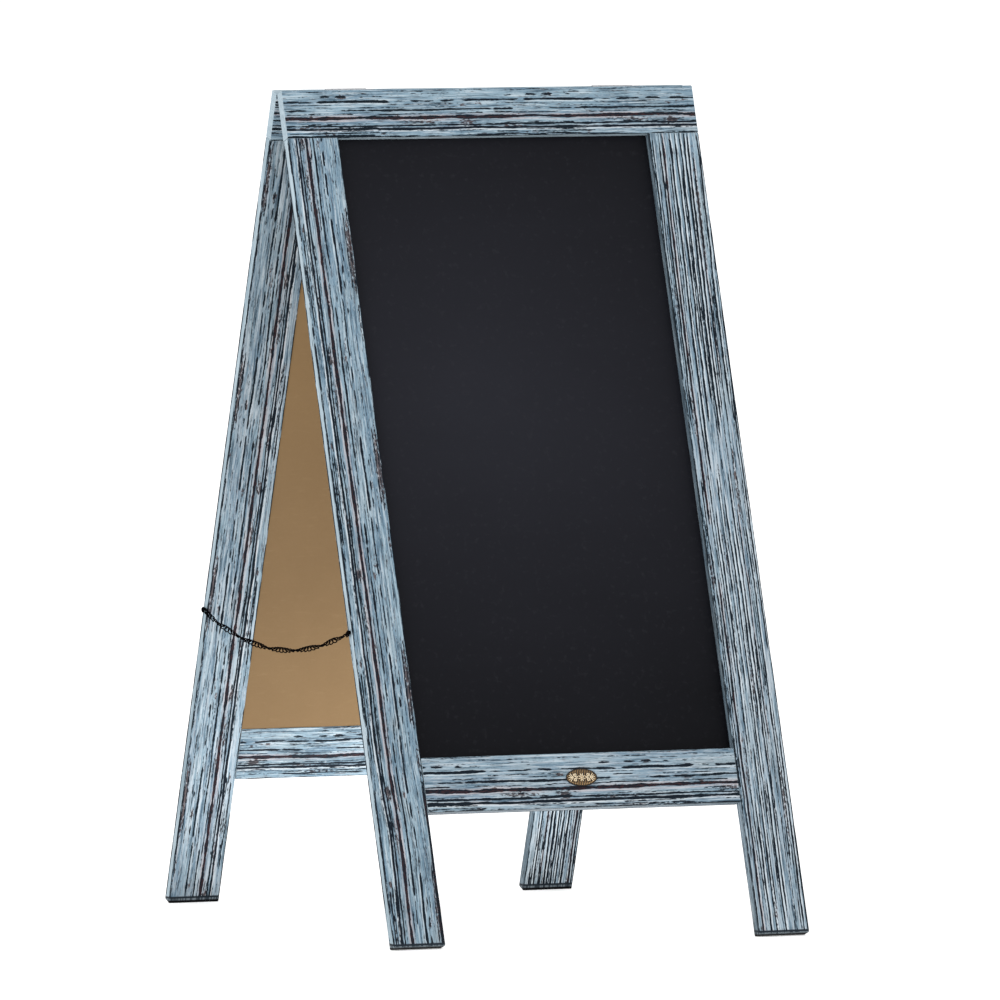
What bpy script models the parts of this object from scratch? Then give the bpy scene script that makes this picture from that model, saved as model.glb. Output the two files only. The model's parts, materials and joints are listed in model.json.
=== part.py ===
"""Menu chalkboard easel: two equal wooden frames with chalkboards, hinged at the top.

The frames lean against each other as an A and two side chains stop them from spreading.
World axes: X across the width, -Y towards the front (the side with the badge), +Z up.
The origin is on the floor, midway between the feet.
"""
import math

import bmesh
import bpy
from mathutils import Matrix, Vector

# ---- Driving dimensions, in metres ------------------------------------------------
WIDTH = 0.508                   # across each frame
FRAME_LENGTH = 1.003            # top edge to foot, along the frame
THICKNESS = 0.014               # of the boards that make the frames
STILE_WIDTH = 0.062
TOP_RAIL_HEIGHT = 0.0565
BOTTOM_RAIL_HEIGHT = 0.063
LEG_DROP = 0.154                # leg below the bottom rail
LEAN = math.radians(19.3)       # of each frame from the vertical when open

GAP = 0.0003                    # left between pieces that touch
CLOSED_GAP = 0.0004             # between the inner faces of the closed frames
EDGE_ROUND = 0.0008

# The panel: a chalkboard sheet on a hardboard back, held in a groove of the frame.
BACK_LIP = 0.0009               # wood behind the groove, on the inner side
HARDBOARD_THICKNESS = 0.0019
SHEET_THICKNESS = 0.0007
GROOVE_DEPTH = 0.008

# The butt hinges on the top ends of the frames.
HINGE_X = 0.165                 # of each hinge from the middle of the width
HINGE_LENGTH = 0.050
LEAF_THICKNESS = 0.001
LEAF_REACH = 0.0125             # from the axis to the leaf's far edge
KNUCKLE_RADIUS = 0.0017
PIN_RADIUS = 0.0007
AXIS_HEIGHT = 0.002             # hinge axis above the wood's top end
HINGE_SCREW_X = 0.015           # of each screw from the middle of its leaf
HINGE_SCREW_INSET = 0.0085      # from the inner face
HINGE_SCREW_LENGTH = 0.018

DOWEL_RADIUS = 0.003
DOWEL_LENGTH = 0.036

# The chains and the screws that hold them.
CHAIN_AT = 0.637                # screw's distance from the top end, along the frame
CHAIN_SCREW_INSET = 0.007       # from the inner face
CHAIN_SAG = 0.0315
CHAIN_RADIUS = 0.0011           # of the plain core that stands for the links
CHAIN_OFFSET = 0.0031           # of the chain's middle from the frame's side
CHAIN_LANE = 0.0016             # sideways shift of each half where the two pass each other
LANE_END = 0.086                # the shift fades out this far from the chain's middle,
LANE_RAMP = 0.020               # over this length
SEGMENTS = 4                    # in each half of a chain
LAST_SEGMENT = 0.0184           # the short one next to the chain's middle
POINT_STEP = 0.009              # between points along a segment
SEGMENT_GAP = 0.0010
SCREW_CLEARANCE = 0.0048        # chain core starts this far from the screw's axis

# The oval badge on the front bottom rail.
BADGE_WIDTH = 0.038
BADGE_HEIGHT = 0.0205
BADGE_THICKNESS = 0.0016
BADGE_ABOVE_MIDDLE = 0.0028
BADGE_RIM = 0.0016

# ---- Worked out from the above ----------------------------------------------------
# A frame is modelled upright in its own space: X across, Y towards the other frame,
# Z up, origin on the hinge axis. FACE_Y is its inner face and OUTER_Y its outer one.
FACE_Y = -CLOSED_GAP / 2
OUTER_Y = FACE_Y - THICKNESS
TOP_Z = -AXIS_HEIGHT
FOOT_Z = TOP_Z - FRAME_LENGTH
TOP_RAIL_LOW = TOP_Z - TOP_RAIL_HEIGHT
BOTTOM_RAIL_LOW = FOOT_Z + LEG_DROP
BOTTOM_RAIL_TOP = BOTTOM_RAIL_LOW + BOTTOM_RAIL_HEIGHT
INNER_X = WIDTH / 2 - STILE_WIDTH
MIDDLE_Y = FACE_Y - THICKNESS / 2
HARDBOARD_Y = FACE_Y - BACK_LIP - GAP / 2
SHEET_Y = HARDBOARD_Y - HARDBOARD_THICKNESS - GAP / 2
GROOVE_Y = SHEET_Y - SHEET_THICKNESS - GAP / 2
# The inner edges of the feet stand on the floor.
AXIS_Z = -FOOT_Z * math.cos(LEAN) + FACE_Y * math.sin(LEAN)
CHAIN_Z = TOP_Z - CHAIN_AT
CHAIN_Y = FACE_Y - CHAIN_SCREW_INSET

BLUE_GREY = (0.26, 0.37, 0.45, 1)
CHARCOAL = (0.018, 0.018, 0.021, 1)
HARDBOARD_BROWN = (0.33, 0.22, 0.11, 1)
RAW_WOOD = (0.55, 0.40, 0.24, 1)
DARK_STEEL = (0.02, 0.02, 0.02, 1)
PLATED_STEEL = (0.45, 0.45, 0.46, 1)
OLD_BRASS = (0.42, 0.30, 0.13, 1)


def clear_scene():
    for old in list(bpy.data.objects):
        bpy.data.objects.remove(old, do_unlink=True)


def material(name, colour, roughness, metallic=0.0):
    made = bpy.data.materials.new(name)
    made.use_nodes = True
    shader = made.node_tree.nodes["Principled BSDF"]
    shader.inputs["Base Color"].default_value = colour
    shader.inputs["Roughness"].default_value = roughness
    shader.inputs["Metallic"].default_value = metallic
    return made


def add_object(name, data, look, parent=None):
    piece = bpy.data.objects.new(name, data)
    bpy.context.collection.objects.link(piece)
    if look:
        data.materials.append(look)
    piece.parent = parent
    return piece


def axis_empty(name, turn):
    """An empty on the hinge axis; turn is 0 for the front frame, 180 degrees for the back."""
    empty = bpy.data.objects.new(name, None)
    bpy.context.collection.objects.link(empty)
    empty.matrix_world = (
        Matrix.Translation((0, 0, AXIS_Z)) @ Matrix.Rotation(turn, 4, "Z") @ Matrix.Rotation(-LEAN, 4, "X")
    )
    return empty


def box_mesh(name, low, high):
    """A box between two corners."""
    bm = bmesh.new()
    bmesh.ops.create_cube(bm, size=1.0)
    low = Vector(low)
    high = Vector(high)
    for vert in bm.verts:
        unit = vert.co + Vector((0.5, 0.5, 0.5))
        vert.co = Vector(low[i] + (high[i] - low[i]) * unit[i] for i in range(3))
    mesh = bpy.data.meshes.new(name)
    bm.to_mesh(mesh)
    bm.free()
    return mesh


def turned_mesh(name, profile, sides=16):
    """A solid turned about Z from (radius, z) points that run up from the bottom."""
    bm = bmesh.new()
    rings = []
    for radius, z in profile:
        if radius == 0:
            rings.append([bm.verts.new((0, 0, z))])
            continue
        angles = [2 * math.pi * i / sides for i in range(sides)]
        rings.append([bm.verts.new((radius * math.cos(a), radius * math.sin(a), z)) for a in angles])
    for lower, upper in zip(rings, rings[1:]):
        for i in range(sides):
            j = (i + 1) % sides
            if len(lower) == 1:
                bm.faces.new((lower[0], upper[j], upper[i]))
            elif len(upper) == 1:
                bm.faces.new((lower[i], lower[j], upper[0]))
            else:
                bm.faces.new((lower[i], lower[j], upper[j], upper[i]))
    if len(rings[0]) > 1:
        bm.faces.new(list(reversed(rings[0])))
    if len(rings[-1]) > 1:
        bm.faces.new(rings[-1])
    bmesh.ops.recalc_face_normals(bm, faces=bm.faces)
    mesh = bpy.data.meshes.new(name)
    bm.to_mesh(mesh)
    bm.free()
    mesh.shade_smooth()
    mesh.set_sharp_from_angle(angle=math.radians(35))
    return mesh


def cutter(mesh, parent, place=Matrix()):
    tool = add_object(mesh.name, mesh, None, parent)
    tool.matrix_local = place
    tool.hide_render = True
    tool.display_type = "WIRE"
    return tool


def bevel(piece, width=EDGE_ROUND, segments=2):
    modifier = piece.modifiers.new("rounded edges", "BEVEL")
    modifier.width = width
    modifier.segments = segments
    modifier.limit_method = "ANGLE"


def boolean(piece, tool, operation="DIFFERENCE"):
    modifier = piece.modifiers.new(operation.lower(), "BOOLEAN")
    modifier.object = tool
    modifier.operation = operation
    modifier.solver = "EXACT"


def along_x(x, y, z):
    """Turns a piece made along Z so that it points along +X, and places it."""
    return Matrix.Translation((x, y, z)) @ Matrix.Rotation(math.radians(90), 4, "Y")


def side_word(tag, side):
    """The object's side of a frame's own -X or +X end; the back frame is turned round."""
    return "left" if (side < 0) == (tag == "front") else "right"


# ---- Wooden frame -----------------------------------------------------------------
def frame_boards(tag, axis, wood):
    """Two stiles under a full-width top rail, with the bottom rail between the stiles."""
    half = WIDTH / 2
    spans = {
        f"top_rail_{tag}": ((-half, TOP_RAIL_LOW), (half, TOP_Z)),
        f"bottom_rail_{tag}": ((-INNER_X + GAP, BOTTOM_RAIL_LOW), (INNER_X - GAP, BOTTOM_RAIL_TOP)),
        f"stile_{side_word(tag, -1)}_{tag}": ((-half, FOOT_Z), (-INNER_X, TOP_RAIL_LOW - GAP)),
        f"stile_{side_word(tag, 1)}_{tag}": ((INNER_X, FOOT_Z), (half, TOP_RAIL_LOW - GAP)),
    }
    boards = {}
    for name, ((x0, z0), (x1, z1)) in spans.items():
        mesh = box_mesh(name, (x0, OUTER_Y, z0), (x1, FACE_Y, z1))
        boards[name] = add_object(name, mesh, wood, axis)
        bevel(boards[name])
    return boards


def cut_groove(tag, axis, boards):
    reach = GROOVE_DEPTH + GAP
    low = (-INNER_X - reach, GROOVE_Y, BOTTOM_RAIL_TOP - reach)
    high = (INNER_X + reach, HARDBOARD_Y + GAP / 2, TOP_RAIL_LOW + reach)
    tool = cutter(box_mesh(f"groove_cutter_{tag}", low, high), axis)
    for board in boards.values():
        boolean(board, tool)


def panel(tag, axis, chalk, hardboard):
    """The hardboard faces the inside and the chalkboard sheet the outside."""
    x = INNER_X + GROOVE_DEPTH
    z0 = BOTTOM_RAIL_TOP - GROOVE_DEPTH
    z1 = TOP_RAIL_LOW + GROOVE_DEPTH
    back = box_mesh("hardboard", (-x, HARDBOARD_Y - HARDBOARD_THICKNESS, z0), (x, HARDBOARD_Y, z1))
    add_object(f"hardboard_{tag}", back, hardboard, axis)
    sheet = box_mesh("sheet", (-x, SHEET_Y - SHEET_THICKNESS, z0), (x, SHEET_Y, z1))
    add_object(f"chalkboard_{tag}", sheet, chalk, axis)


def dowels(tag, axis, boards, look):
    """One dowel across each of the four joints of a frame, in blind holes."""
    stile_x = WIDTH / 2 - STILE_WIDTH / 2
    rail_z = (BOTTOM_RAIL_LOW + BOTTOM_RAIL_TOP) / 2
    round_end = DOWEL_RADIUS / 4
    half = DOWEL_LENGTH / 2
    profile = [
        (DOWEL_RADIUS - round_end, -half), (DOWEL_RADIUS, round_end - half),
        (DOWEL_RADIUS, half - round_end), (DOWEL_RADIUS - round_end, half),
    ]
    hole = [(DOWEL_RADIUS + GAP, -half - GAP), (DOWEL_RADIUS + GAP, half + GAP)]
    for side in (-1, 1):
        word = side_word(tag, side)
        places = {
            "top": (Matrix.Translation((side * stile_x, MIDDLE_Y, TOP_RAIL_LOW)), f"top_rail_{tag}"),
            "bottom": (along_x(side * INNER_X, MIDDLE_Y, rail_z), f"bottom_rail_{tag}"),
        }
        for joint, (place, rail) in places.items():
            name = f"dowel_{joint}_{word}_{tag}"
            pin = add_object(name, turned_mesh(name, profile, 12), look, axis)
            pin.matrix_local = place
            tool = cutter(turned_mesh(f"{name}_cutter", hole, 12), axis, place)
            boolean(boards[rail], tool)
            boolean(boards[f"stile_{word}_{tag}"], tool)


# ---- Hinges -----------------------------------------------------------------------
def hinge_leaf(name, axis, knuckles, look):
    """A plate on the wood's top end with its knuckles on the hinge axis.

    knuckles lists the (start, end) stretches of X that this leaf's knuckles take.
    """
    mid = sum(knuckles[0] + knuckles[-1]) / 4 if len(knuckles) > 1 else sum(knuckles[0]) / 2
    plate_low = TOP_Z + GAP
    plate_high = plate_low + LEAF_THICKNESS
    clear = KNUCKLE_RADIUS + GAP
    low = (mid - HINGE_LENGTH / 2, -LEAF_REACH, plate_low)
    high = (mid + HINGE_LENGTH / 2, -clear, plate_high)
    leaf = add_object(name, box_mesh(name, low, high), look, axis)
    for i, (start, end) in enumerate(knuckles):
        tab = box_mesh(f"{name}_tab_{i}", (start, -clear - LEAF_THICKNESS, plate_low), (end, 0, plate_high))
        boolean(leaf, cutter(tab, axis), "UNION")
        barrel = turned_mesh(f"{name}_barrel_{i}", [(KNUCKLE_RADIUS, 0), (KNUCKLE_RADIUS, end - start)])
        boolean(leaf, cutter(barrel, axis, along_x(start, 0, 0)), "UNION")
    bore = turned_mesh(f"{name}_bore", [(PIN_RADIUS + GAP, -GAP), (PIN_RADIUS + GAP, HINGE_LENGTH + GAP)], 12)
    boolean(leaf, cutter(bore, axis, along_x(mid - HINGE_LENGTH / 2, 0, 0)))
    return leaf


def hinge_pin(name, axis, x, look):
    """A plain pin with a small head beyond each outer knuckle."""
    head = KNUCKLE_RADIUS
    half = HINGE_LENGTH / 2 + GAP
    profile = [
        (head * 0.7, -half - 0.0008), (head, -half - 0.0005), (head, -half), (PIN_RADIUS, -half),
        (PIN_RADIUS, half), (head, half), (head, half + 0.0005), (head * 0.7, half + 0.0008),
    ]
    pin = add_object(name, turned_mesh(name, profile, 12), look, axis)
    pin.matrix_local = along_x(x, 0, 0)


def hinge_screws(leaf, rail, axis, middle, look):
    """Two countersunk screws through a leaf into the rail below it."""
    head_radius = 0.0024
    shank_radius = 0.0012
    head_top = TOP_Z + GAP + LEAF_THICKNESS
    head_low = head_top - (head_radius - shank_radius)
    tip = head_top - HINGE_SCREW_LENGTH
    profile = [(0, tip), (shank_radius, tip + 0.004), (shank_radius, head_low), (head_radius, head_top)]
    seat = [
        (shank_radius + GAP, tip - GAP), (shank_radius + GAP, head_low - GAP),
        (head_radius + GAP, head_top - GAP), (head_radius + GAP, head_top + GAP),
    ]
    for number, offset in ((1, -HINGE_SCREW_X), (2, HINGE_SCREW_X)):
        place = Matrix.Translation((middle + offset, FACE_Y - HINGE_SCREW_INSET, 0))
        name = leaf.name.replace("leaf", "screw") + f"_{number}"
        add_object(name, turned_mesh(name, profile, 12), look, axis).matrix_local = place
        tool = cutter(turned_mesh(f"{name}_cutter", seat, 12), axis, place)
        boolean(leaf, tool)
        boolean(rail, tool)


def hinges(axes, boards, steel):
    """Each hinge: two outer knuckles on the front leaf, the middle one on the back leaf."""
    outer = HINGE_LENGTH / 2
    inner = HINGE_LENGTH / 6
    for side, word in ((-1, "left"), (1, "right")):
        x = side * HINGE_X
        front_stretches = [(x - outer, x - inner - GAP / 2), (x + inner + GAP / 2, x + outer)]
        back_stretches = [(-x - inner + GAP / 2, -x + inner - GAP / 2)]
        stretches = {"front": front_stretches, "back": back_stretches}
        for tag, axis in axes.items():
            leaf = hinge_leaf(f"hinge_leaf_{word}_{tag}", axis, stretches[tag], steel)
            own_x = x if tag == "front" else -x
            hinge_screws(leaf, boards[tag][f"top_rail_{tag}"], axis, own_x, steel)
        hinge_pin(f"hinge_pin_{word}", axes["front"], x, steel)


# ---- Chains -----------------------------------------------------------------------
def chain_screw(name, axis, side, stile, look):
    """A pan-head screw into the stile's side; the chain's end link hangs under its head."""
    shank = 0.0013
    profile = [
        (0, -0.016), (shank, -0.012), (shank, 0.0024), (0.0035, 0.0024),
        (0.0035, 0.0032), (0.0028, 0.0042), (0.0014, 0.0047), (0, 0.0048),
    ]
    place = Matrix.Translation((side * WIDTH / 2, CHAIN_Y, CHAIN_Z))
    place = place @ Matrix.Rotation(side * math.radians(90), 4, "Y")
    screw = add_object(name, turned_mesh(name, profile), look, axis)
    screw.matrix_local = place
    hole = turned_mesh(f"{name}_cutter", [(shank + GAP, -0.0165), (shank + GAP, 0.001)], 12)
    boolean(stile, cutter(hole, axis, place))


def chain_curve(share):
    """The (y, z) point at a share of the open chain, from the front screw to the back."""
    reach = -(Matrix.Rotation(-LEAN, 4, "X") @ Vector((0, CHAIN_Y, CHAIN_Z))).y
    drop = (Matrix.Rotation(-LEAN, 4, "X") @ Vector((0, CHAIN_Y, CHAIN_Z))).z
    along = 2 * share - 1
    return Vector((along * reach, AXIS_Z + drop - CHAIN_SAG * (1 - along * along)))


def share_at(length, samples=4000):
    """The share of the chain whose arc from the front screw has this length; None for all."""
    walked = 0.0
    before = chain_curve(0)
    for i in range(1, samples + 1):
        point = chain_curve(i / samples)
        step = (point - before).length
        if length is not None and walked + step >= length:
            return (i - 1 + (length - walked) / step) / samples, length
        walked += step
        before = point
    return 1.0, walked


def segment_shares():
    """Where the chain's segments begin and end.

    The closed frames put the back screw lower than the front one, so the front half is
    longer by that difference, and both halves then end at the same height.
    """
    total = share_at(None)[1]
    lower = 2 * (CHAIN_SCREW_INSET + CLOSED_GAP / 2) * math.sin(LEAN)
    front = (total + lower) / 2 - LAST_SEGMENT
    back = (total - lower) / 2 - LAST_SEGMENT
    long_ones = SEGMENTS - 1
    lengths = [front * i / long_ones for i in range(SEGMENTS)]
    lengths += [front + LAST_SEGMENT]
    lengths += [total - back * (long_ones - i) / long_ones for i in range(SEGMENTS)]
    return [share_at(length)[0] for length in lengths]


def lane_shift(from_middle):
    """Sideways shift at a distance from the chain's middle, so that the halves can pass."""
    return CHAIN_LANE * max(0.0, min(1.0, (LANE_END - from_middle) / LANE_RAMP))


def segment_points(start, end, trim_start, trim_end):
    """Shares at even steps along one segment, with its ends cut back."""
    span = (chain_curve(end) - chain_curve(start)).length
    steps = round(span / POINT_STEP)
    first = trim_start / span
    run = 1 - (trim_start + trim_end) / span
    return [start + (end - start) * (first + run * i / steps) for i in range(steps + 1)]


def chain_segment(name, points, look):
    curve = bpy.data.curves.new(name, "CURVE")
    curve.dimensions = "3D"
    curve.bevel_depth = CHAIN_RADIUS
    curve.bevel_resolution = 2
    curve.use_fill_caps = True
    spline = curve.splines.new("POLY")
    spline.points.add(len(points) - 1)
    for target, point in zip(spline.points, points):
        target.co = (*point, 1)
    return add_object(name, curve, look)


def chain(side, look):
    """One chain in two halves, each of three long segments of links and a short one."""
    shares = segment_shares()
    total = share_at(None)[1]
    middle = side * (WIDTH / 2 + CHAIN_OFFSET)
    for i in range(2 * SEGMENTS):
        in_front = i < SEGMENTS
        number = i + 1 if in_front else 2 * SEGMENTS - i
        half = "front" if in_front else "back"
        lane = -side if in_front else side
        trim_start = SCREW_CLEARANCE if i == 0 else SEGMENT_GAP / 2
        trim_end = SCREW_CLEARANCE if i == 2 * SEGMENTS - 1 else SEGMENT_GAP / 2
        points = []
        for share in segment_points(shares[i], shares[i + 1], trim_start, trim_end):
            from_middle = abs(share - shares[SEGMENTS]) * total
            points.append((middle + lane * lane_shift(from_middle), *chain_curve(share)))
        chain_segment(f"chain_{half}_{number}", points, look)


# ---- Badge ------------------------------------------------------------------------
def badge(axis, look):
    """An oval plate with a raised rim around a flat dish."""
    sides = 40
    z = (BOTTOM_RAIL_LOW + BOTTOM_RAIL_TOP) / 2 + BADGE_ABOVE_MIDDLE
    rise = BADGE_THICKNESS
    rings = [(0, 0), (0, rise), (BADGE_RIM, rise), (BADGE_RIM, rise * 0.75)]
    bm = bmesh.new()
    loops = []
    for inset, height in rings:
        loop = []
        for i in range(sides):
            a = 2 * math.pi * i / sides
            x = (BADGE_WIDTH / 2 - inset) * math.cos(a)
            up = (BADGE_HEIGHT / 2 - inset) * math.sin(a)
            loop.append(bm.verts.new((x, OUTER_Y - GAP - height, z + up)))
        loops.append(loop)
    for a, b in zip(loops, loops[1:]):
        bmesh.ops.bridge_loops(bm, edges=loop_edges(bm, a) + loop_edges(bm, b))
    bm.faces.new(loops[0])
    bm.faces.new(loops[-1])
    bmesh.ops.recalc_face_normals(bm, faces=bm.faces)
    mesh = bpy.data.meshes.new("badge")
    bm.to_mesh(mesh)
    bm.free()
    add_object("badge", mesh, look, axis)


def loop_edges(bm, loop):
    pairs = zip(loop, loop[1:] + loop[:1])
    return [bm.edges.get(pair) or bm.edges.new(pair) for pair in pairs]


def main():
    clear_scene()
    wood = material("blue_grey_wood", BLUE_GREY, 0.7)
    chalk = material("chalkboard_black", CHARCOAL, 0.6)
    hardboard = material("hardboard", HARDBOARD_BROWN, 0.65)
    raw = material("dowel_wood", RAW_WOOD, 0.7)
    black = material("black_steel", DARK_STEEL, 0.35, 0.8)
    plated = material("plated_steel", PLATED_STEEL, 0.35, 1.0)
    brass = material("old_brass", OLD_BRASS, 0.4, 1.0)

    axes = {"front": axis_empty("front_frame_axis", 0), "back": axis_empty("back_frame_axis", math.pi)}
    boards = {}
    for tag, axis in axes.items():
        boards[tag] = frame_boards(tag, axis, wood)
        cut_groove(tag, axis, boards[tag])
        panel(tag, axis, chalk, hardboard)
        dowels(tag, axis, boards[tag], raw)
        side = -1 if tag == "front" else 1
        chain_screw(f"chain_screw_{tag}", axis, side, boards[tag][f"stile_left_{tag}"], black)
    hinges(axes, boards, plated)
    chain(-1, black)
    badge(axes["front"], brass)


main()
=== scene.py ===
"""Menu chalkboard easel: two hinged frames of brushed blue-grey boards, chalkboards and a side chain."""
import json
import math

import bpy
import numpy as np
from mathutils import Matrix, Vector


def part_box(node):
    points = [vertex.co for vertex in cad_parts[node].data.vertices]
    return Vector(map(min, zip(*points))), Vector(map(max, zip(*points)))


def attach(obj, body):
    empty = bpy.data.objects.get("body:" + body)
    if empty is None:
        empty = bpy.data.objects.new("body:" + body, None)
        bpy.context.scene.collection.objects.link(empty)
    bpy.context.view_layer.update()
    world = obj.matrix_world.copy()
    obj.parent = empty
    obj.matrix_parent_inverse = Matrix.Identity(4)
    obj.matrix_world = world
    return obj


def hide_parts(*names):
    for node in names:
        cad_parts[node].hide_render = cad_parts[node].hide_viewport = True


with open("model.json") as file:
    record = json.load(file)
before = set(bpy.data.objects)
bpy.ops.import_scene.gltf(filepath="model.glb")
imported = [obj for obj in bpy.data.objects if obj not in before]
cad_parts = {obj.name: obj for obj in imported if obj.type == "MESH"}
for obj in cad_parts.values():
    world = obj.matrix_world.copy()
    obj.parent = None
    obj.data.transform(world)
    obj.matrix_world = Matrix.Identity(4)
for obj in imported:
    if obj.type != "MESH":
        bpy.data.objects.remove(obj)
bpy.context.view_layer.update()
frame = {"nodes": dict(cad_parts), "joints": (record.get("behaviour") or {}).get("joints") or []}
nodes = frame["nodes"]
joints = {joint["name"]: joint for joint in frame["joints"]}
MM = 0.001

# ---- The two frames' own coordinates: origin on the hinge axis, z along the frame ----
FOLD = joints["fold"]
LEAN = math.radians(FOLD["range_deg"][1] / 2)
AXIS = Vector(FOLD["pos_m"])
PLACE = {
    tag: Matrix.Translation(AXIS) @ Matrix.Rotation(turn, 4, "Z") @ Matrix.Rotation(-LEAN, 4, "X")
    for tag, turn in (("front", 0.0), ("back", math.pi))
}


def local_box(node, tag):
    """Lowest and highest corner of a CAD node in its frame's coordinates."""
    back = PLACE[tag].inverted()
    points = np.array([back @ v.co for v in nodes[node].data.vertices])
    return points.min(0), points.max(0)


# ---- Node materials ----
class Look:
    """A node material; socket values are given as plain values or as other nodes' outputs."""

    def __init__(self, name):
        self.material = bpy.data.materials.new(name)
        self.material.use_nodes = True
        self.tree = self.material.node_tree
        self.shader = self.tree.nodes["Principled BSDF"]

    def put(self, node, inputs):
        for name, value in inputs.items():
            socket = node.inputs[name]
            if isinstance(value, bpy.types.NodeSocket):
                self.tree.links.new(value, socket)
            else:
                socket.default_value = value

    def node(self, kind, inputs, output=0, **settings):
        made = self.tree.nodes.new("ShaderNode" + kind)
        for name, value in settings.items():
            setattr(made, name, value)
        self.put(made, inputs)
        return made.outputs[output]

    def surface(self, **inputs):
        self.put(self.shader, {name.replace("_", " "): value for name, value in inputs.items()})
        return self.material

    def attribute(self, name, output="Fac"):
        return self.node("Attribute", {}, output, attribute_name=name)

    def place(self):
        return self.node("TexCoord", {}, "Object")

    def stretch(self, vector, scale, shift=(0, 0, 0)):
        return self.node("Mapping", {"Vector": vector, "Scale": scale, "Location": shift})

    def noise(self, vector, scale=1.0, detail=2.0, rough=0.5):
        return self.node("TexNoise", {"Vector": vector, "Scale": scale, "Detail": detail,
                                      "Roughness": rough})

    def streaks(self, vector, scale, shift=(0, 0, 0), detail=3.0, rough=0.6):
        """Noise with a scale of its own along each axis."""
        return self.noise(self.stretch(vector, scale, shift), 1.0, detail, rough)

    def math(self, operation, first, second):
        return self.node("Math", {0: first, 1: second}, operation=operation)

    def sum(self, first, second):
        return self.math("ADD", first, second)

    def less(self, first, second):
        return self.math("SUBTRACT", first, second)

    def times(self, first, second):
        return self.math("MULTIPLY", first, second)

    def vary(self, value, noise, amount):
        """The value, moved up or down by the noise."""
        return self.sum(value, self.times(self.less(noise, 0.5), amount))

    def ramp(self, value, low, high, to_low=0.0, to_high=1.0, smooth=True):
        kind = "SMOOTHSTEP" if smooth else "LINEAR"
        return self.node("MapRange",
                         {"Value": value, "From Min": low, "From Max": high,
                          "To Min": to_low, "To Max": to_high}, interpolation_type=kind)

    def mix(self, factor, first, second):
        """Two colours, each another node's output or three numbers, mixed by the factor."""
        first, second = ((*tone, 1) if isinstance(tone, tuple) else tone for tone in (first, second))
        return self.node("Mix", {0: factor, 6: first, 7: second}, 2, data_type="RGBA")

    def tint(self, colour, value, low, high, share, tone):
        """The colour, mixed with up to a share of the tone as the value goes from low to high."""
        return self.mix(self.ramp(value, low, high, 0, share), colour, tone)

    def bump(self, height, strength, distance):
        return self.node("Bump", {"Height": height, "Strength": strength, "Distance": distance})

    def split(self, vector, axis):
        return self.node("SeparateXYZ", {"Vector": vector}, axis)


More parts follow.
